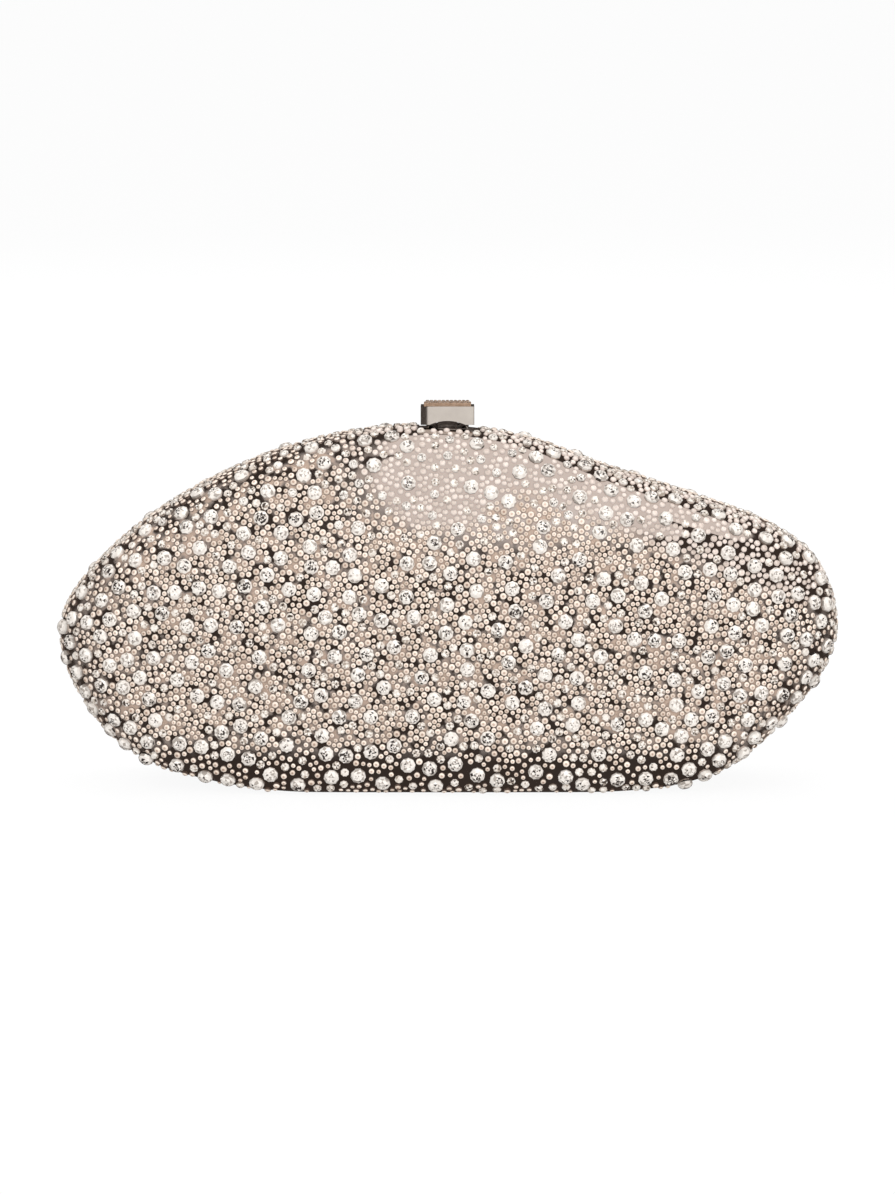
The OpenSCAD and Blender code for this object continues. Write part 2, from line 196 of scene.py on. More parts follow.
# Angles between faces: smooth up to the first, crisp from the second, bevelled from the third, and flat
# up to the last
SMOOTH_ANGLE = math.radians(40)
SHARP_ANGLE = math.radians(50)
BEVEL_ANGLE = math.radians(35)
FLAT_ANGLE = math.radians(0.5)

# Seeds of the random draws
SEEDS = {"front": 5, "rear": 9}
PAVE_SEED = 3
STITCH_SEED = 7

# The lit brow of the front half, where the polished metal mirrors the top light card and where colours
# carry painted light and shade: the heights over which it fades in, its dip near the middle, its fall to
# the right, and where it fades in on the left
BROW_FADE = (74.0 * MM, 80.0 * MM)
BROW_DIP = 9.0 * MM
BROW_DIP_X = -2.0 * MM
BROW_DIP_FADE = (18.0 * MM, 6.0 * MM)
BROW_FALL = 0.41
BROW_FALL_X = 20.0 * MM
BROW_LEFT_FADE = (-34.0 * MM, -14.0 * MM)

# Where the pale patches between the beads, a painted reflection of the beads, fade out: towards the ends,
# the foot and the rim
PATCH_ENDS = (80.0 * MM, 95.0 * MM)
PATCH_FOOT = (9.0 * MM, 17.0 * MM)
PATCH_RIM = (7.5 * MM, 10.5 * MM)

# How far the clasp's bar leans back, and how it is domed across: slopes, and slope per metre
LEAN = 0.34
TOP_LEAN = 0.5
DOME = 18.5
DOME_MIDDLE = -3.5 * MM

# How the lever's top slopes and drops, and how much higher its tray stands
LID_SLOPE = math.radians(3.2)
LID_DROP = 0.2 * MM
TRAY_RISE = 0.3 * MM

# The dark cloth that the studio is hung with, as the polished metal shows it
DUSK = (0.064, 0.051, 0.045)
DARK_TABLE = (0.060, 0.048, 0.042)
PEARL_LIGHT = (1.0, 0.965, 0.945)

# The world's strength as a light, and how much of the floor the camera sees through
SKY_LIGHT = 0.7
FLOOR_CLEAR = 0.93

# The object's lower middle, at which the lamps point
LAMP_AIM = Vector((0, 0, 0.05))


def clear_start_scene():
    nodes = set(frame["nodes"].values()) | set(frame["bodies"].values())
    for obj in list(bpy.data.objects):
        if obj.type in {"MESH", "LIGHT", "CAMERA"} and obj not in nodes:
            bpy.data.objects.remove(obj)


def deselect():
    bpy.ops.object.select_all(action="DESELECT")


def pick(obj):
    """Selects one object alone and makes it the active one."""
    deselect()
    obj.hide_set(False)
    obj.select_set(True)
    bpy.context.view_layer.objects.active = obj


def apply_modifier(obj, kind, **settings):
    pick(obj)
    modifier = obj.modifiers.new(kind.title(), kind)
    for key, value in settings.items():
        setattr(modifier, key, value)
    bpy.ops.object.modifier_apply(modifier=modifier.name)


def select_where(obj, kind, test):
    """Selects the faces or the points of the active mesh that pass a test, and stays in edit mode."""
    bpy.ops.object.mode_set(mode="EDIT")
    bpy.ops.mesh.select_mode(type=kind)
    bpy.ops.mesh.select_all(action="DESELECT")
    bpy.ops.object.mode_set(mode="OBJECT")
    for item in obj.data.polygons if kind == "FACE" else obj.data.vertices:
        item.select = test(item)
    bpy.ops.object.mode_set(mode="EDIT")


def attach(piece, body, material, node=None):
    """Gives a piece its material and its body, and puts it in the place of a CAD node."""
    piece.data.materials.append(material)
    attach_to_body(piece, body)
    if node:
        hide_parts(node)


# Shader maths

class Field:
    """A socket of a material, on which Python's operators add Math nodes."""

    def __init__(self, finish, socket):
        self.finish = finish
        self.socket = socket

    def math(self, operation, *others):
        values = dict(enumerate((self, *others)))
        return self.finish.node("ShaderNodeMath", {"operation": operation}, values)

    def __add__(self, other):
        return self.math("ADD", other)

    def __sub__(self, other):
        return self.math("SUBTRACT", other)

    def __rsub__(self, other):
        return self.math("MULTIPLY_ADD", -1.0, other)

    def __mul__(self, other):
        return self.math("MULTIPLY", other)

    def __gt__(self, other):
        return self.math("GREATER_THAN", other)

    def __lt__(self, other):
        return self.math("LESS_THAN", other)


class Finish:
    """A material with one Principled shader, and the nodes that feed it."""

    def __init__(self, name, **constants):
        self.material = bpy.data.materials.new(name)
        self.material.use_nodes = True
        self.tree = self.material.node_tree
        self.tree.nodes.clear()
        self.shader = self.tree.nodes.new("ShaderNodeBsdfPrincipled")
        self.end = self.tree.nodes.new("ShaderNodeOutputMaterial")
        self.tree.links.new(self.shader.outputs["BSDF"], self.end.inputs["Surface"])
        for socket, value in constants.items():
            self.shader.inputs[socket.replace("_", " ")].default_value = value

    def node(self, kind, settings=None, sockets=None, output=0):
        made = self.tree.nodes.new(kind)
        for key, value in (settings or {}).items():
            if key == "stops":
                self.set_stops(made.color_ramp, value)
            else:
                setattr(made, key, value)
        for key, value in (sockets or {}).items():
            if isinstance(value, Field):
                self.tree.links.new(value.socket, made.inputs[key])
            else:
                made.inputs[key].default_value = value
        return Field(self, made.outputs[output])

    @staticmethod
    def set_stops(ramp, stops):
        while len(ramp.elements) > 1:
            ramp.elements.remove(ramp.elements[-1])
        ramp.elements[0].position = stops[0][0]
        ramp.elements[0].color = stops[0][1]
        for place, colour in stops[1:]:
            ramp.elements.new(place).color = colour

    def place(self):
        return self.node("ShaderNodeTexCoord", output="Object")

    def attribute(self, name):
        return self.node("ShaderNodeAttribute", {"attribute_name": name}, output="Fac")

    def noise(self, scale, detail=2.0):
        return self.node("ShaderNodeTexNoise", {}, {"Vector": self.place(), "Scale": scale,
                                                    "Detail": detail})

    def cells(self, scale):
        return self.node("ShaderNodeTexVoronoi", {}, {"Vector": self.place(), "Scale": scale},
                         "Distance")

    def ramp(self, factor, *stops):
        return self.node("ShaderNodeValToRGB", {"stops": [(at, (*colour, 1.0)) for at, colour in stops]},
                         {"Fac": factor}, "Color")

    def between(self, factor, low, high):
        """A number that runs from low to high as the factor runs from 0 to 1."""
        return factor * (high - low) + low

    def rise(self, value, start, end):
        """0 at the first limit and beyond, 1 at the second and beyond, and a smooth step between."""
        return self.node("ShaderNodeMapRange", {"interpolation_type": "SMOOTHSTEP"},
                         {"Value": value, "From Min": start, "From Max": end})

    def axis(self, name):
        return self.node("ShaderNodeSeparateXYZ", {}, {"Vector": self.place()}, name)

    def mix(self, factor, a, b):
        colours = [c if isinstance(c, Field) else (*c, 1.0) for c in (a, b)]
        return self.node("ShaderNodeMix", {"data_type": "RGBA"},
                         {0: factor, 6: colours[0], 7: colours[1]}, 2)

    def bump(self, height, strength, distance):
        return self.node("ShaderNodeBump", {}, {"Height": height, "Strength": strength,
                                                "Distance": distance})

    def feed(self, **links):
        for socket, value in links.items():
            self.tree.links.new(value.socket, self.shader.inputs[socket.replace("_", " ")])
        return self.material

    def clear(self, share, shader):
        """Shows a shader, but what lies behind it by a share from 0 to 1."""
        behind = self.tree.nodes.new("ShaderNodeBsdfTransparent")
        mixer = self.tree.nodes.new("ShaderNodeMixShader")
        self.tree.links.new(share.socket, mixer.inputs[0])
        self.tree.links.new(shader.outputs[0], mixer.inputs[1])
        self.tree.links.new(behind.outputs[0], mixer.inputs[2])
        self.tree.links.new(mixer.outputs[0], self.end.inputs["Surface"])
        return self.material


# Finishes

def on_lit_brow(f):
    """1 on the lit brow of the front half, and 0 elsewhere: where the top light card falls in the polished
    metal, and where painted light and shade are mixed into the colours. It runs below the rim from the top
    to the right, and dips lower near the middle."""
    x = f.axis("X")
    dip = f.rise((x - BROW_DIP_X).math("ABSOLUTE"), *BROW_DIP_FADE) * BROW_DIP
    fall = (x - BROW_FALL_X).math("MAXIMUM", 0.0) * BROW_FALL
    return (f.rise(f.axis("Z") + dip + fall, *BROW_FADE) * f.rise(x, *BROW_LEFT_FADE)
            * (f.axis("Y") < 0.0))


def polished_case():
    """Polished champagne metal, with pale patches between the beads that are a painted reflection of
    the beads, and bare by the rim and the foot. On the lit brow a pale colour is mixed in as painted
    light, and the metal is smoother there."""
    f = Finish("polished_case")
    cloud = f.noise(60.0, 3.0)
    grain = f.noise(900.0)
    ends = f.rise(f.axis("X").math("ABSOLUTE"), *PATCH_ENDS) * 0.7
    brow = on_lit_brow(f)
    # Painted reflection: pale, duller patches that stand in for the beads mirrored in the metal between
    # them
    painted_bead_reflection = (f.rise(f.noise(300.0), 0.43, 0.63) * f.rise(f.axis("Z"), *PATCH_FOOT)
             * f.rise(f.axis("Y").math("ABSOLUTE"), *PATCH_RIM) * (1.0 - ends) * (1.0 - brow))
    metal = f.ramp(cloud, (0.3, (0.52, 0.45, 0.41)), (0.7, (0.62, 0.555, 0.52)))
    # Painted light: a pale colour mixed into the metal on the lit brow
    metal = f.mix(brow * 0.7, metal, (0.61, 0.52, 0.47))
    return f.feed(
        Base_Color=f.mix(painted_bead_reflection, metal, (0.53, 0.40, 0.32)),
        Metallic=f.between(painted_bead_reflection, 1.0, 0.30),
        Roughness=f.between(grain, 0.07, 0.17) * (1.0 - brow * 0.7) + painted_bead_reflection * 0.15,
        Normal=f.bump(grain, 0.12, 0.00003))


def pearl_bead():
    """Pale champagne beads, with a painted dark rosy reflection at the tip and a painted shadow line in
    the dark ring at the foot. On the lit brow they are plainer, as painted light, and carry painted shade
    only on the upper side of the ring and the dome."""
    f = Finish("pearl_bead", Specular_IOR_Level=0.6, Coat_Weight=0.5, Coat_Roughness=0.08)
    tone = f.attribute("tone")
    part = f.attribute("part")
    up = f.attribute("up")
    on_dome = part > (TIP_PART + DOME_PART) / 2
    above_foot = part > (FOOT_PART + TIP_PART) / 2
    brow = on_lit_brow(f)
    pearl = f.mix(tone, (0.66, 0.545, 0.45), (0.95, 0.83, 0.725))
    # Painted reflection: the dark rosy spot at each bead's tip
    tip_reflection = f.mix(tone, (0.34, 0.225, 0.17), (0.60, 0.445, 0.36))
    # Painted light: the plainer colour that the beads take on the lit brow
    lit_brow_bead = f.mix(tone, (0.60, 0.515, 0.465), (0.82, 0.725, 0.67))
    # Painted shade on the upper faces of the domes on the lit brow
    shade = brow * f.rise(up, 0.62, 0.85) * on_dome
    dome = f.mix(on_dome, f.mix(brow * 0.65, tip_reflection, lit_brow_bead), f.mix(brow * 0.75, pearl, lit_brow_bead))
    # Painted shadow line: the dark ring at each bead's foot, on the lit brow only on its upper side
    foot = f.mix(brow * f.rise(up, 0.5, 0.1), (0.12, 0.080, 0.062), lit_brow_bead)
    return f.feed(
        Base_Color=f.mix(shade * 0.45, f.mix(above_foot, foot, dome), (0.09, 0.07, 0.06)),
        Metallic=f.between(f.noise(700.0), 0.0, 0.15),
        Roughness=f.between(f.noise(1500.0), 0.22, 0.38))


def cut_crystal(name, pale, grey, dark, white=(0.98, 0.93, 0.87)):
    f = Finish(name, Metallic=0.12, Specular_IOR_Level=0.8, Coat_Weight=0.8, Coat_Roughness=0.02)
    tone = f.attribute("tone")
    # Painted reflections: each facet is dark, grey, pale or white by its tone, for what a clear cut stone
    # mirrors, the white ones as painted glints
    facet = f.ramp(tone, (0.0, dark), (0.09, dark), (0.13, grey), (0.24, grey), (0.32, pale),
                   (1.0, white))
    return f.feed(
        # Painted shade: the crystals on the lit brow are darkened towards grey
        Base_Color=f.mix(on_lit_brow(f) * 0.12, facet, grey),
        Roughness=f.between(f.noise(700.0), 0.03, 0.10))


def satin_metal(name, low, high, roughness):
    f = Finish(name, Metallic=1.0)
    streak = f.node("ShaderNodeMapping", {}, {"Vector": f.place(), "Scale": (40.0, 900.0, 900.0)})
    grain = f.node("ShaderNodeTexNoise", {}, {"Vector": streak, "Scale": 3.0, "Detail": 3.0})
    return f.feed(
        Base_Color=f.ramp(grain, (0.3, low), (0.7, high)),
        Roughness=f.between(grain, roughness * 0.7, roughness * 1.3),
        Normal=f.bump(grain, 0.2, 0.00003))


def rose_copper():
    """Brushed copper with a dull bloom."""
    f = Finish("rose_copper")
    grain = f.noise(1500.0, 3.0)
    return f.feed(
        Base_Color=f.ramp(grain, (0.3, (0.43, 0.275, 0.18)), (0.7, (0.60, 0.42, 0.30))),
        Metallic=f.between(grain, 0.45, 0.6),
        Roughness=f.between(grain, 0.3, 0.45),
        Normal=f.bump(grain, 0.3, 0.00004))


def mirror_metal(name, low, high):
    f = Finish(name, Metallic=1.0)
    haze = f.noise(250.0, 3.0)
    return f.feed(
        Base_Color=f.ramp(haze, (0.3, low), (0.7, high)),
        Roughness=f.between(haze, 0.03, 0.09))


def clasp_silver():
    """Bright nickel. Its bump leans the front of the bar back and domes it across, as buffing does."""
    f = Finish("clasp_silver", Specular_IOR_Level=0.7)
    haze = f.noise(250.0, 3.0)
    across = f.axis("X") - DOME_MIDDLE
    height = f.axis("Y") * TOP_LEAN - f.axis("Z") * LEAN - across * across * (DOME / 2)
    return f.feed(
        Base_Color=f.ramp(haze, (0.3, (0.56, 0.52, 0.475)), (0.7, (0.63, 0.59, 0.54))),
        Metallic=f.between(haze, 0.95, 1.0),
        Roughness=f.between(haze, 0.03, 0.07),
        Normal=f.bump(height, 1.0, 1.0))


def linen_thread():
    f = Finish("linen_thread", Roughness=0.75)
    twist = f.noise(2600.0)
    return f.feed(
        Base_Color=f.ramp(twist, (0.3, (0.66, 0.58, 0.50)), (0.7, (0.82, 0.75, 0.67))),
        Normal=f.bump(twist, 0.6, 0.0001))


def lining_leather():
    f = Finish("lining_leather", Specular_IOR_Level=0.4)
    grain = f.cells(620.0) + f.noise(1900.0, 3.0) * 0.5
    worn = f.noise(90.0, 4.0) * 0.5 + grain * 0.5
    return f.feed(
        Base_Color=f.ramp(worn, (0.30, (0.50, 0.415, 0.345)), (0.62, (0.58, 0.49, 0.41))),
        Roughness=f.between(worn, 0.60, 0.42),
        Normal=f.bump(grain, 0.55, 0.00035))


# Shells

def merged_copy(node, name):
    """A copy of a CAD node's mesh with its loose triangles joined."""
    source = frame["nodes"][node]
    copy = bpy.data.objects.new(name, source.data.copy())
    bpy.context.collection.objects.link(copy)
    pick(copy)
    copy.data.materials.clear()
    bpy.ops.object.mode_set(mode="EDIT")
    bpy.ops.mesh.select_all(action="SELECT")
    bpy.ops.mesh.remove_doubles(threshold=WELD)
    bpy.ops.object.mode_set(mode="OBJECT")
    return copy


def round_off(shell):
    """Rounds a shell from its CAD facets, with its rims and cuts kept crisp."""
    pick(shell)
    bpy.ops.object.mode_set(mode="EDIT")
    bpy.ops.mesh.select_all(action="SELECT")
    bpy.ops.mesh.customdata_custom_splitnormals_clear()
    bpy.ops.mesh.tris_convert_to_quads(face_threshold=SMOOTH_ANGLE, shape_threshold=SMOOTH_ANGLE)
    bpy.ops.mesh.select_all(action="DESELECT")
    bpy.ops.mesh.select_mode(type="EDGE")
    bpy.ops.mesh.edges_select_sharp(sharpness=SHARP_ANGLE)
    bpy.ops.transform.edge_crease(value=1.0)
    bpy.ops.object.mode_set(mode="OBJECT")
    apply_modifier(shell, "SUBSURF", levels=2, render_levels=2)
    bpy.ops.object.shade_smooth_by_angle(angle=SMOOTH_ANGLE)


def raise_lip(piece):
    """Raises a narrower lip on the face that meets the other half, all along the rim."""
    face_y = min((v.co.y for v in piece.data.vertices), key=abs)
    way = math.copysign(1.0, face_y)
    select_where(piece, "FACE",
                 lambda face: face.normal.y * way < -0.9 and abs(face.center.y - face_y) < LOOSE)
    bpy.ops.mesh.inset(thickness=LIP_INSET, depth=0)
    bpy.ops.mesh.extrude_region_move(TRANSFORM_OT_translate={"value": (0, -way * LIP_RISE, 0)})
    bpy.ops.object.mode_set(mode="OBJECT")


def smooth_shell(node, name, body, material, shape=None):
    """A rounded copy of a shell or a frame, in the place of its CAD node."""
    shell = merged_copy(node, name)
    if shape:
        shape(shell)
    round_off(shell)
    attach(shell, body, material, node)
    return shell


# Stones and beads, each modelled once

def round_blank(name, sides, radius, low, high, taper=1.0):
    """A short round bar from one height to another, without its end below, and its top face selected."""
    deselect()
    bpy.ops.mesh.primitive_cone_add(vertices=sides, radius1=radius, radius2=radius * taper,
                                    depth=high - low, end_fill_type="TRIFAN",
                                    location=(0, 0, (high + low) / 2))
    blank = bpy.context.object
    blank.name = name
    bpy.ops.object.transform_apply(location=True)
    select_where(blank, "FACE", lambda face: face.normal.z < -0.9)
    bpy.ops.mesh.delete(type="FACE")
    bpy.ops.object.mode_set(mode="OBJECT")
    select_where(blank, "FACE", lambda face: face.normal.z > 0.9)
    return blank


def step_in(rise, share, turn=0.0):
    """Draws the selected top face up and in, and turns it, which leaves a ring of facets below it."""
    bpy.ops.mesh.extrude_region_move(TRANSFORM_OT_translate={"value": (0, 0, rise)})
    bpy.ops.transform.resize(value=(share, share, 1), center_override=(0, 0, 0))
    if turn:
        bpy.ops.transform.rotate(value=turn, orient_axis="Z", center_override=(0, 0, 0))


def note_rings(master, reaches, values):
    """Notes on each face the value of its ring. The reaches are the rings' outer limits, from the tip
    out."""
    layer = master.data.attributes.new("part", "FLOAT", "FACE")
    for face, item in zip(master.data.polygons, layer.data):
        ring = sum(face.center.xy.length > reach for reach in reaches)
        item.value = values[ring]


def cut_stone(name, radius, crown, sink, sides, steps, chances):
    """A round stone: a straight girdle, rings of facets and a flat table. The chances, from the table
    out, say how often a facet of each ring is dark, a painted reflection."""
    stone = round_blank(name, sides, radius, -sink, crown * GIRDLE)
    reaches = [radius * GIRDLE_REACH]
    reach = radius
    for rise, share in steps:
        step_in(rise * crown, share, math.pi / sides)
        reach *= share
        reaches.append(reach)
    select_where(stone, "FACE", lambda face: face.normal.z > 0.1)
    bpy.ops.mesh.quads_convert_to_tris(quad_method="FIXED", ngon_method="CLIP")
    bpy.ops.object.mode_set(mode="OBJECT")
    note_rings(stone, sorted(reaches), chances)
    return stone


def bead(name, radius, crown, sides):
    """A polished dome: a steep ring at the foot, and two steps above it that follow a quarter circle."""
    before = BEAD_RING_ANGLE
    dome = round_blank(name, sides, radius, -BEAD_SINK * crown, crown * math.sin(before),
                       math.cos(before))
    for angle in BEAD_STEPS:
        step_in(crown * (math.sin(angle) - math.sin(before)), math.cos(angle) / math.cos(before))
        before = angle
    bpy.ops.object.mode_set(mode="OBJECT")
    tip = min(dome.data.vertices, key=lambda v: v.co.xy.length)
    tip.co.z = crown
    note_rings(dome, (TIP_REACH * radius, DOME_REACH * radius), (TIP_PART, DOME_PART, FOOT_PART))
    return dome


def scatter(master, name, seats, seed, faceted, along=None):
    """One mesh with a copy of the master on every seat, each turned by chance about its own axis, or
    laid along the direction given for it.
    Each whole copy gets a chance tone that its finish reads. On a faceted stone each face gets one,
    for painted reflections: dark as often as its ring says, more on some stones than on others, grey now
    and then, or pale. Each face also notes how far it looks up."""
    rng = np.random.default_rng(seed)
    co = np.array([v.co for v in master.data.vertices])
    faces = [p.vertices[:] for p in master.data.polygons]
    places = np.array([s[0] for s in seats])
    axes = np.array([s[1] for s in seats])
    axes /= np.linalg.norm(axes, axis=1, keepdims=True)
    helper = np.where(np.abs(axes[:, 2:3]) < 0.9, [[0.0, 0.0, 1.0]], [[1.0, 0.0, 0.0]])
    side = np.cross(helper, axes)
    side /= np.linalg.norm(side, axis=1, keepdims=True)
    other = np.cross(axes, side)
    turn = rng.random(len(seats)) * 2 * math.pi
    a = side * np.cos(turn)[:, None] + other * np.sin(turn)[:, None]
    if along is not None:
        a = np.array(along)
        a -= (a * axes).sum(1, keepdims=True) * axes
        a /= np.linalg.norm(a, axis=1, keepdims=True)
    b = np.cross(axes, a)
    size = np.array([s[2] for s in seats])[:, None, None]
    moved = places[:, None] + size * (co[None, :, 0:1] * a[:, None] + co[None, :, 1:2] * b[:, None]
                                      + co[None, :, 2:3] * axes[:, None])
    mesh = bpy.data.meshes.new(name)
    all_faces = [[i + k * len(co) for i in face] for k in range(len(seats)) for face in faces]
    mesh.from_pydata(moved.reshape(-1, 3).tolist(), [], all_faces)
    part = np.array([item.value for item in master.data.attributes["part"].data])
    part = np.tile(part, len(seats))
    # How far each face of a copy looks up, which the beads' finish reads for painted shade on the lit brow
    outward = np.array([p.center.xy.normalized() for p in master.data.polygons])
    up = np.stack((a[:, 2], b[:, 2]), 1) @ outward.T
    tones = np.repeat(rng.random(len(seats)), len(faces))
    if faceted:
        dark = part * (DARK_LEAST + DARK_SWING * tones * tones)
        draw = rng.random(len(part))
        pale = PALE_TONE + (1.0 - PALE_TONE) * rng.random(len(part))
        tones = np.where(draw < dark, DARK_TONE, np.where(draw < dark + GREY_CHANCE, GREY_TONE, pale))
    for key, values in (("tone", tones), ("part", part), ("up", up.ravel())):
        layer = mesh.attributes.new(key, "FLOAT", "FACE")
        layer.data.foreach_set("value", values.astype(np.float32))
    mesh.polygons.foreach_set("use_smooth", np.full(len(mesh.polygons), not faceted))
    mesh.update()
    obj = bpy.data.objects.new(name, mesh)
    bpy.context.collection.objects.link(obj)
    return obj


def loose_stones(node):
    """The stones of a CAD node: the middle of the foot of each, and the way it faces."""
    mesh = merged_copy(node, node + "_seats")
    count = len(mesh.data.vertices)
    co = np.empty(count * 3)
    mesh.data.vertices.foreach_get("co", co)
    co = co.reshape(-1, 3)
    edges = np.empty(len(mesh.data.edges) * 2, np.int64)
    mesh.data.edges.foreach_get("vertices", edges)
    label = np.arange(count)
    pairs = edges.reshape(-1, 2)
    while True:
        low = np.minimum(label[pairs[:, 0]], label[pairs[:, 1]])
        new = label.copy()
        np.minimum.at(new, pairs[:, 0], low)
        np.minimum.at(new, pairs[:, 1], low)
        new = new[new]
        if (new == label).all():
            break
        label = new
    bpy.data.objects.remove(mesh)
    stones = []
    for k in np.unique(label):
        points = co[label == k]
        centre = points.mean(0)
        axis = np.linalg.svd(points - centre, full_matrices=False)[2][2]
        height = (points - centre) @ axis
        reach = np.linalg.norm(points - centre - height[:, None] * axis, axis=1)
        upper_reach = reach[height > height.max() - TIGHT].max()
        lower_reach = reach[height < height.min() + TIGHT].max()
        if upper_reach > lower_reach:
            axis = -axis
            height = -height
        stones.append((Vector(centre + axis * height.min()), Vector(axis)))
    return stones


class Skin:
    """The skin of a half, on which places are looked up, and how far each lies from the rim."""

    def __init__(self, shell):
        mesh = shell.data
        points = [v.co.copy() for v in mesh.vertices]
        self.tree = BVHTree.FromPolygons(points, [p.vertices[:] for p in mesh.polygons])
        self.outer = [p for p in mesh.polygons if p.normal.dot(p.center - SKIN_MIDDLE) > 0]
        self.areas = np.cumsum([p.area for p in self.outer]).tolist()
        rim = [p for p in points if abs(p.y) < RIM_DEPTH]
        self.rim = KDTree(len(rim))
        for i, p in enumerate(rim):
            self.rim.insert((p.x, 0, p.z), i)
        self.rim.balance()

    def near(self, point):
        place, normal, _, _ = self.tree.find_nearest(point)
        return place, normal

    def anywhere(self, rng):
        polygon = rng.choices(self.outer, cum_weights=self.areas)[0]
        return polygon.center.copy(), polygon.normal.copy()

    def from_rim(self, place):
        return self.rim.find((place.x, 0, place.z))[2]


class Setting:
    """The stones already set on one half. A new one has to clear them, the rim, the ground and the
    clasp."""

    def __init__(self):
        self.cell = 2 * (LARGE_R + MIDDLE_R)
        self.clasp_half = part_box("clasp_lever")[1][0] + CLASP_CLEAR
        self.clasp_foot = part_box("clasp_bracket")[0][2] - BRACKET_CLEAR
        self.clasp_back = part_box("clasp_lever")[1][1] + CLASP_CLEAR
        self.clasp_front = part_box("clasp_lever")[0][1] - BAR_CLEAR
        self.grid = {}
        self.stones = []

    def key(self, p):
        return math.floor(p.x / self.cell), math.floor(p.z / self.cell)

    def put(self, p, n, r):
        self.grid.setdefault(self.key(p), []).append((p, r))
        self.stones.append((p, n, r))

    def fits(self, p, n, r, gap):
        lowest = p.z + min(0.0, n.z) * BEAD_CROWN - r * math.sqrt(1 - min(1, n.z * n.z))
        if abs(p.y) < RIM_CLEAR + r * (abs(n.y) + 0.5) or lowest < GROUND_CLEAR or n.z < FACES_DOWN:
            return False
        if (abs(p.x) < self.clasp_half + r and p.z > self.clasp_foot - r
                and self.clasp_front - r < p.y < self.clasp_back):
            return False
        kx, kz = self.key(p)
        for dx in (-1, 0, 1):
            for dz in (-1, 0, 1):
                for q, s in self.grid.get((kx + dx, kz + dz), ()):
                    if (p - q).length_squared < ((r + s) * gap) ** 2:
                        return False
        return True


def spread(skin, p):
    """How far apart the beads stand here, as a share of their touching distance."""
    rim = max(0.0, 1.0 - skin.from_rim(p) / RIM_SPARSE)
    top = min(1.0, max(0.0, (p.z - TOP_SPARSE_Z) / TOP_SPARSE_RUN))
    top *= min(1.0, max(0.0, (p.x - TOP_SPARSE_X) / TOP_SPARSE_RUN))
    foot = min(1.0, max(0.0, (FOOT_SPARSE_Z - p.z) / FOOT_SPARSE_RUN))
    return 1.0 + max(RIM_THINNER * rim, TOP_THINNER * top, FOOT_THINNER * foot)


def set_middles(skin, setting, count, rng):
    """Middle crystals, dropped by chance into the room that the large ones leave."""
    middles = []
    for _ in range(MIDDLE_TRIES * count):
        if len(middles) >= count:
            break
        p, n = skin.anywhere(rng)
        if len(middles) < RIM_MIDDLES and skin.from_rim(p) > RIM_BAND:
            continue
        if setting.fits(p, n, MIDDLE_R, MIDDLE_GAP):
            setting.put(p, n, MIDDLE_R)
            middles.append((p, n, 1.0))
    return middles


def set_beads(skin, setting, rng):
    """Beads, each laid against a stone that is already there, as they are set by hand. They stand
    further apart by the rim, towards the top and at the foot."""
    beads = []
    queue = list(setting.stones)
    while queue:
        at, axis, r = queue.pop(rng.randrange(len(queue)))
        wide = spread(skin, at)
        u = axis.orthogonal().normalized()
        v = axis.cross(u)
        start = rng.random() * 2 * math.pi
        for step in range(TURNS):
            size = rng.choice(BEAD_SIZES)
            s = BEAD_R * size
            a = start + 2 * math.pi * step / TURNS
            d = (r + s) * wide * (BEAD_STEP[0] + BEAD_STEP[1] * rng.random())
            p, n = skin.near(at + (u * math.cos(a) + v * math.sin(a)) * d)
            gap = BEAD_GAP + (wide - 1.0) * GAP_FOLLOWS
            if (p - at).length > (r + s) * TOO_CLOSE and setting.fits(p, n, s, gap):
                setting.put(p, n, s)
                queue.append((p, n, s))
                beads.append((p, n, size))
    for _ in range(FILL_TRIES):
        p, n = skin.anywhere(rng)
        size = rng.choice(FILL_SIZES)
        if spread(skin, p) < FILL_BELOW and setting.fits(p, n, BEAD_R * size, BEAD_GAP):
            setting.put(p, n, BEAD_R * size)
            beads.append((p, n, size))
    return beads


def set_stones(name, master, seats, body, finish, seed, faceted, node=None):
    """Sets a whole piece of stones or beads."""
    attach(scatter(master, name, seats, seed, faceted), body, finish, node)


def dress_half(side, shell, masters, finishes, seed):
    """Sets one half with its large crystals, middle crystals and beads."""
    rng = random.Random(seed)
    body = side + "_half"
    node = side + "_crystals"
    skin = Skin(shell)
    setting = Setting()
    large = []
    for foot, axis in loose_stones(node):
        place = foot + axis * LARGE_SINK
        share = SMALL_SHARE if place.z > BROW_Z and rng.random() < BROW_CHANCE else 1.0
        setting.put(place, axis, LARGE_R * share)
        large.append((place, axis, share))
    middles = set_middles(skin, setting, round(MIDDLES_PER_LARGE * len(large)), rng)
    beads = set_beads(skin, setting, rng)
    set_stones(side + "_large_crystals", masters["large"], large, body,
               finishes["large"], seed + 1, True, node)
    set_stones(side + "_middle_crystals", masters["middle"], middles, body,
               finishes["middle"], seed + 2, True)
    for part, there in (("left", lambda p: p.x < 0), ("right", lambda p: p.x >= 0)):
        seats = [seat for seat in beads if there(seat[0])]
        set_stones(side + "_beads_" + part, masters["bead"], seats, body,
                   finishes["bead"], seed + 3, False)


# Clasp

def slope_lid(piece, above, drop):
    """Turns all that lies above a height down towards the back, about the clasp's front edge, and
    lowers it."""
    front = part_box("clasp_lever")[0][1]
    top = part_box("clasp_lever")[1][2]
    select_where(piece, "VERT", lambda point: point.co.z > above)
    bpy.ops.transform.rotate(value=LID_SLOPE, orient_axis="X", center_override=(0, front, top))
    bpy.ops.transform.translate(value=(0, 0, -drop))
    bpy.ops.object.mode_set(mode="OBJECT")


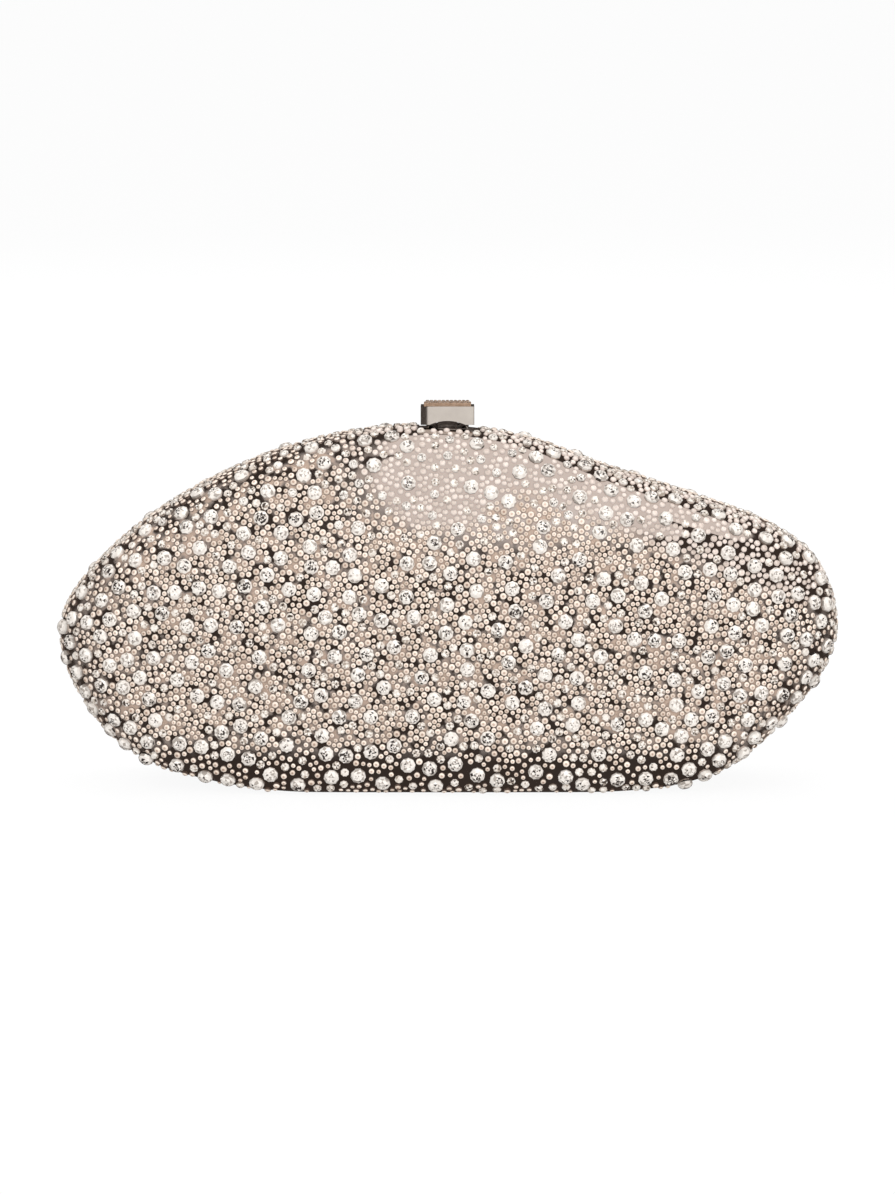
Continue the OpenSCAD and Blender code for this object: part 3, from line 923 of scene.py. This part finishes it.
def crisp_copy(node, name, body, material, bevel, segments=2, shape=None):
    """A CAD node with its edges softly rounded."""
    piece = merged_copy(node, name)
    bpy.ops.object.mode_set(mode="EDIT")
    bpy.ops.mesh.customdata_custom_splitnormals_clear()
    bpy.ops.mesh.select_all(action="SELECT")
    bpy.ops.mesh.dissolve_limited(angle_limit=FLAT_ANGLE)
    bpy.ops.object.mode_set(mode="OBJECT")
    if shape:
        shape(piece)
    apply_modifier(piece, "BEVEL", width=bevel, segments=segments, limit_method="ANGLE",
                   angle_limit=BEVEL_ANGLE, harden_normals=False, use_clamp_overlap=True)
    pick(piece)
    bpy.ops.object.shade_smooth_by_angle(angle=SMOOTH_ANGLE)
    apply_modifier(piece, "WEIGHTED_NORMAL", keep_sharp=True)
    attach(piece, body, material, node)


def pave_seats():
    """Rows of small stones, shoulder to shoulder over the whole tray."""
    low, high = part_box("clasp_stone_tray")
    columns = int((high[0] - low[0]) / PAVE_PITCH)
    rows = int((high[1] - low[1]) / PAVE_PITCH)
    middle = (Vector(low) + Vector(high)) / 2
    return [(Vector((middle.x + (i - (columns - 1) / 2) * PAVE_PITCH,
                     middle.y + (j - (rows - 1) / 2) * PAVE_PITCH, high[2])), Vector((0, 0, 1)), 1.0)
            for i in range(columns) for j in range(rows)]


def coil_spring(material):
    """The return spring, which the lever presses together as it opens; here it keeps its rest shape."""
    spring = merged_copy("clasp_spring", "clasp_spring_wire")
    bpy.ops.object.mode_set(mode="EDIT")
    bpy.ops.mesh.customdata_custom_splitnormals_clear()
    bpy.ops.object.mode_set(mode="OBJECT")
    bpy.ops.object.shade_smooth_by_angle(angle=SHARP_ANGLE)
    attach(spring, "rear_half", material, "clasp_spring")
    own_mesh(spring)


def paint(node, material):
    """Gives a CAD node a better material."""
    slots = frame["nodes"][node].data.materials
    slots.clear()
    slots.append(material)


# Linings

def rim_path(lining):
    """The inner edge of a lining's rim, in order from the right of the hinge round the top to its left,
    and the two corners of the cut-out for the hinge, where the path turns in and back."""
    points = [v.co.copy() for v in lining.data.vertices]
    level = min(abs(p.y) for p in points)
    rim = [p for p in points if abs(p.y) < level + LOOSE]
    tree = KDTree(len(rim))
    for i, p in enumerate(rim):
        tree.insert(p, i)
    tree.balance()
    inner = []
    for p in rim:
        partner = tree.find_n(p, 2)[1][0]
        if (p - SKIN_MIDDLE).length < (partner - SKIN_MIDDLE).length:
            inner.append(p)
    inner.sort(key=lambda p: (math.atan2(p.z - SKIN_MIDDLE.z, p.x) + math.pi / 2) % (2 * math.pi))
    corners = []
    for end in (inner[0], inner[-1]):
        wall = [p for p in points if abs(p.x - end.x) < LOOSE and p.z < end.z + WALL_BAND]
        deep = max(abs(p.y) for p in wall)
        corners.append(max((p for p in wall if abs(p.y) > deep - LOOSE), key=lambda p: p.z))
    return inner, corners


def rolled_edge(name, inner, corners, body, material):
    """Leather piping that follows the rim and turns in round the hinge."""
    way = math.copysign(1.0, inner[0].y)
    path = [(p + Vector((0, way * PIPING_R, 0)) + (SKIN_MIDDLE - p).normalized() * PIPING_PROUD, "AUTO")
            for p in inner[1:-1]]
    for corner, end in ((corners[0], inner[0]), (corners[1], inner[-1])):
        turn = [(end + Vector((0, way * PIPING_R, 0)), "VECTOR"), (corner.copy(), "VECTOR")]
        path = turn[::-1] + path if corner is corners[0] else path + turn
    curve = bpy.data.curves.new(name, "CURVE")
    curve.dimensions = "3D"
    spline = curve.splines.new("BEZIER")
    spline.bezier_points.add(len(path) - 1)
    for point, (place, kind) in zip(spline.bezier_points, path):
        point.co = place
        point.handle_left_type = kind
        point.handle_right_type = kind
    spline.use_cyclic_u = True
    curve.resolution_u = 6
    curve.bevel_depth = PIPING_R
    curve.bevel_resolution = 3
    piping = bpy.data.objects.new(name, curve)
    bpy.context.collection.objects.link(piping)
    pick(piping)
    bpy.ops.object.convert(target="MESH")
    piping = bpy.context.object
    bpy.ops.object.shade_smooth()
    piping.data.materials.clear()
    attach(piping, body, material)


def stitch_seats(lining, inner):
    """Places for stitches at an even pitch below the rim, and the way each one runs."""
    mesh = lining.data
    points = [v.co.copy() for v in mesh.vertices]
    tree = BVHTree.FromPolygons(points, [p.vertices[:] for p in mesh.polygons])
    way = math.copysign(1.0, inner[0].y)
    seats, along = [], []
    left = 0.0
    for a, b in zip(inner, inner[1:]):
        run = (b - a).length
        while left < run:
            p = a.lerp(b, left / run) + Vector((0, way * STITCH_BELOW, 0))
            p += (SKIN_MIDDLE - p).normalized() * STITCH_BELOW
            place, normal, _, _ = tree.find_nearest(p)
            if normal.dot(SKIN_MIDDLE - place) > 0:
                seats.append((place, normal, 1.0))
                along.append((b - a).normalized())
            left += STITCH_PITCH
        left -= run
    return seats, along


def line_half(side, leather, thread, stitch):
    """Lines one half with grained leather, with a rolled edge and a row of stitches below it."""
    node = side + "_lining"
    body = side + "_half"
    lining = merged_copy(node, side + "_leather_lining")
    inner, corners = rim_path(lining)
    round_off(lining)
    attach(lining, body, leather, node)
    rolled_edge(side + "_lining_piping", inner, corners, body, leather)
    seats, along = stitch_seats(lining, inner)
    row = scatter(stitch, side + "_lining_stitches", seats, STITCH_SEED, False, along)
    attach(row, body, thread)


# Studio

def build_studio():
    scene = bpy.context.scene
    scene.view_settings.view_transform = "Standard"
    world = bpy.data.worlds.new("studio")
    scene.world = world
    world.use_nodes = True
    tree = world.node_tree
    tree.nodes.clear()
    path = tree.nodes.new("ShaderNodeLightPath")
    shown = tree.nodes.new("ShaderNodeMath")
    shown.operation = "MAXIMUM"
    tree.links.new(path.outputs["Is Camera Ray"], shown.inputs[0])
    tree.links.new(path.outputs["Is Glossy Ray"], shown.inputs[1])
    through = tree.nodes.new("ShaderNodeMath")
    through.operation = "MAXIMUM"
    tree.links.new(shown.outputs[0], through.inputs[0])
    tree.links.new(path.outputs["Is Transmission Ray"], through.inputs[1])
    level = tree.nodes.new("ShaderNodeMapRange")
    level.inputs["To Min"].default_value = SKY_LIGHT
    level.inputs["To Max"].default_value = 1.0
    tree.links.new(through.outputs[0], level.inputs["Value"])
    background = tree.nodes.new("ShaderNodeBackground")
    background.inputs["Color"].default_value = (1, 1, 1, 1)
    tree.links.new(level.outputs[0], background.inputs["Strength"])
    output = tree.nodes.new("ShaderNodeOutputWorld")
    tree.links.new(background.outputs[0], output.inputs["Surface"])


def card(name, location, size, facing, colour, strength=1.0, core=0.96):
    """A studio card that only reflections see. Its brightness is its own, and its edges are soft."""
    deselect()
    bpy.ops.mesh.primitive_plane_add(size=2, location=location)
    plane = bpy.context.object
    plane.name = name
    plane.scale = (size[0] / 2, size[1] / 2, 1)
    plane.rotation_mode = "QUATERNION"
    plane.rotation_quaternion = Vector(facing).to_track_quat("Z", "Y")
    f = Finish(name)
    glow = f.tree.nodes.new("ShaderNodeEmission")
    glow.inputs["Color"].default_value = (*colour, 1)
    glow.inputs["Strength"].default_value = strength
    x, y = (f.axis(way).math("ABSOLUTE") for way in "XY")
    out = (x.math("POWER", 4.0) + y.math("POWER", 4.0)).math("POWER", 0.25)
    plane.data.materials.append(f.clear(f.rise(out, core, 1.0), glow))
    plane.visible_camera = False
    plane.visible_diffuse = False
    plane.visible_shadow = False
    plane.visible_transmission = False


def build_floor():
    """A pale floor with a faint shadow. The camera sees the white world through it, and so also a half
    that swings below the level it stands on. Bounced light and reflections pass through it, so that
    such a half is lit as the rest is."""
    deselect()
    bpy.ops.mesh.primitive_plane_add(size=24, location=(0, 0, 0))
    floor = bpy.context.object
    floor.name = "floor"
    f = Finish("pale_floor", Base_Color=(0.9, 0.9, 0.9, 1), Roughness=0.9, Specular_IOR_Level=0.0)
    path = f.node("ShaderNodeLightPath", output="Is Camera Ray")
    floor.data.materials.append(f.clear(path * FLOOR_CLEAR, f.shader))
    floor.visible_shadow = False
    floor.visible_diffuse = False
    floor.visible_glossy = False


def softbox(name, location, size, power):
    """A soft white lamp that points at the object's lower middle."""
    data = bpy.data.lights.new(name, "AREA")
    data.shape = "RECTANGLE"
    data.size, data.size_y = size
    data.energy = power
    light = bpy.data.objects.new(name, data)
    bpy.context.collection.objects.link(light)
    light.location = location
    light.rotation_mode = "QUATERNION"
    light.rotation_quaternion = (Vector(location) - LAMP_AIM).to_track_quat("Z", "Y")
    light.visible_camera = False
    light.visible_glossy = False


def hang_cards():
    """Dark cloth on all sides, and two light cards that the polished metal mirrors."""
    for way, side in (("front", -1), ("back", 1)):
        card(way + "_dark_card", (0, side * 1.8, 1.2), (4.6, 3.6), (0, -side, 0), DUSK)
    card("front_light_card", (0.19, -0.93, 0.87), (0.56, 0.96), (0, 0.755, -0.656), PEARL_LIGHT, 1.0, 0.93)
    card("top_light_card", (0.38, -0.22, 1.32), (1.14, 1.66), (0, 0, -1), PEARL_LIGHT, 1.02, 0.88)
    for way, side in (("left", -1), ("right", 1)):
        card(way + "_dark_card", (side * 1.9, 0, 1.2), (4.6, 3.6), (-side, 0, 0), DUSK)
    card("dark_ceiling", (0, 0, 2.6), (4.2, 4.2), (0, 0, -1), DUSK)
    card("dark_table_card", (0, 0, -0.03), (4.2, 4.2), (0, 0, 1), DARK_TABLE)


def place_lamps():
    softbox("key_softbox", (-0.9, -1.1, 1.1), (0.9, 0.9), 9.2)
    softbox("fill_softbox", (1.0, -1.0, 0.40), (0.8, 0.8), 8.0)
    softbox("top_softbox", (0.1, 0.2, 1.3), (1.0, 0.7), 6.5)
    softbox("foot_softbox", (0, -1.3, 0.12), (1.6, 0.2), 6.5)
    softbox("back_softbox", (-0.3, 1.2, 0.9), (1.0, 0.8), 8.0)


def build_camera():
    """A long lens a little above the object, as the photograph was taken."""
    height = IMAGE_H * MM_PER_PIXEL * MM
    distance = height / SENSOR * LENS
    tilt = math.radians(ELEVATION)
    data = bpy.data.cameras.new("camera")
    data.lens = LENS
    data.sensor_width = SENSOR
    camera = bpy.data.objects.new("camera", data)
    bpy.context.collection.objects.link(camera)
    back = Vector((0, -math.cos(tilt), math.sin(tilt)))
    camera.location = Vector((0, 0, AIM_Z)) + back * distance
    camera.rotation_mode = "QUATERNION"
    camera.rotation_quaternion = (-back).to_track_quat("-Z", "Y")
    data.clip_start = 0.05
    data.clip_end = 20
    bpy.context.scene.camera = camera


# The whole object

def stone_masters():
    """One stone or bead of each kind, to be copied to its seats."""
    return {
        "large": cut_stone("large_master", LARGE_R, LARGE_CROWN, LARGE_SINK, LARGE_SIDES,
                           LARGE_STEPS, LARGE_CHANCES),
        "middle": cut_stone("middle_master", MIDDLE_R, MIDDLE_CROWN, MIDDLE_SINK, SMALL_SIDES,
                            SMALL_STEPS, MIDDLE_CHANCES),
        "bead": bead("bead_master", BEAD_R, BEAD_CROWN, BEAD_SIDES),
        "pave": cut_stone("pave_master", PAVE_R, PAVE_CROWN, PAVE_SINK, SMALL_SIDES, SMALL_STEPS,
                          PAVE_CHANCES),
    }


def stitch_master():
    """A stitch: a low bead, squeezed slim."""
    stitch = bead("stitch_master", STITCH_R, STITCH_CROWN, SMALL_SIDES)
    pick(stitch)
    bpy.ops.object.mode_set(mode="EDIT")
    bpy.ops.mesh.select_all(action="SELECT")
    bpy.ops.transform.resize(value=(1, STITCH_SLIM, 1), center_override=(0, 0, 0))
    bpy.ops.object.mode_set(mode="OBJECT")
    return stitch


def dress_halves(masters):
    """The shells of both halves, with all that is set on them."""
    case = polished_case()
    finishes = {
        "large": cut_crystal("large_crystal_cut", (0.78, 0.72, 0.665), (0.42, 0.375, 0.335),
                             (0.05, 0.041, 0.038)),
        "middle": cut_crystal("middle_crystal_cut", (0.70, 0.62, 0.545), (0.40, 0.335, 0.28),
                              (0.08, 0.062, 0.052)),
        "bead": pearl_bead(),
    }
    for side, seed in SEEDS.items():
        shell = smooth_shell(side + "_shell", side + "_polished_shell", side + "_half",
                             case)
        dress_half(side, shell, masters, finishes, seed)


def dress_clasp(master):
    """The polished lever, its copper tray, and the small stones on the tray."""
    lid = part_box("clasp_stone_tray")[0][2] - LOOSE

    def lower_lid(piece):
        slope_lid(piece, lid, LID_DROP)

    def thicken_tray(piece):
        select_where(piece, "VERT", lambda point: point.co.z < lid + 2 * LOOSE)
        bpy.ops.transform.translate(value=(0, 0, -LID_DROP - TRAY_RISE))
        bpy.ops.object.mode_set(mode="OBJECT")
        slope_lid(piece, 0, -TRAY_RISE)

    crisp_copy("clasp_lever", "clasp_lever_polished", "lever", clasp_silver(),
               0.16 * MM, 3, lower_lid)
    crisp_copy("clasp_stone_tray", "clasp_tray_copper", "lever", rose_copper(),
               0.08 * MM, 2, thicken_tray)
    finish = cut_crystal("clasp_crystal_cut", (0.36, 0.24, 0.165), (0.22, 0.14, 0.09),
                         (0.07, 0.045, 0.03), (0.72, 0.58, 0.47))
    set_stones("clasp_pave", master, pave_seats(), "lever", finish, PAVE_SEED, True,
               "clasp_stones")


def dress_metalwork():
    """The frames, the hinge and the fixed parts of the clasp, in satin and polished steel."""
    satin = satin_metal("satin_steel", (0.50, 0.48, 0.46), (0.66, 0.64, 0.61), 0.28)
    polished = mirror_metal("polished_pins", (0.66, 0.65, 0.63), (0.80, 0.79, 0.77))
    for side in ("front", "rear"):
        smooth_shell(side + "_frame", side + "_satin_frame", side + "_half", satin,
                     raise_lip if side == "rear" else None)
    for node, body in (("hinge_rear_leaf", "rear_half"), ("hinge_front_leaf", "front_half"),
                       ("clasp_bracket", "rear_half"), ("strike_plate", "front_half")):
        crisp_copy(node, node + "_satin", body, satin, 0.1 * MM)
    for node in ("hinge_pin", "hinge_rear_rivets", "hinge_front_rivets", "clasp_bracket_screws",
                 "clasp_pivot_pin", "strike_rivets"):
        paint(node, polished)
    coil_spring(polished)


def build():
    masters = stone_masters()
    dress_halves(masters)
    dress_clasp(masters["pave"])
    dress_metalwork()
    masters["stitch"] = stitch_master()
    leather = lining_leather()
    thread = linen_thread()
    for side in ("front", "rear"):
        line_half(side, leather, thread, masters["stitch"])
    for master in masters.values():
        bpy.data.objects.remove(master)


clear_start_scene()
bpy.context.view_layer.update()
build()
build_studio()
build_floor()
hang_cards()
place_lamps()
build_camera()
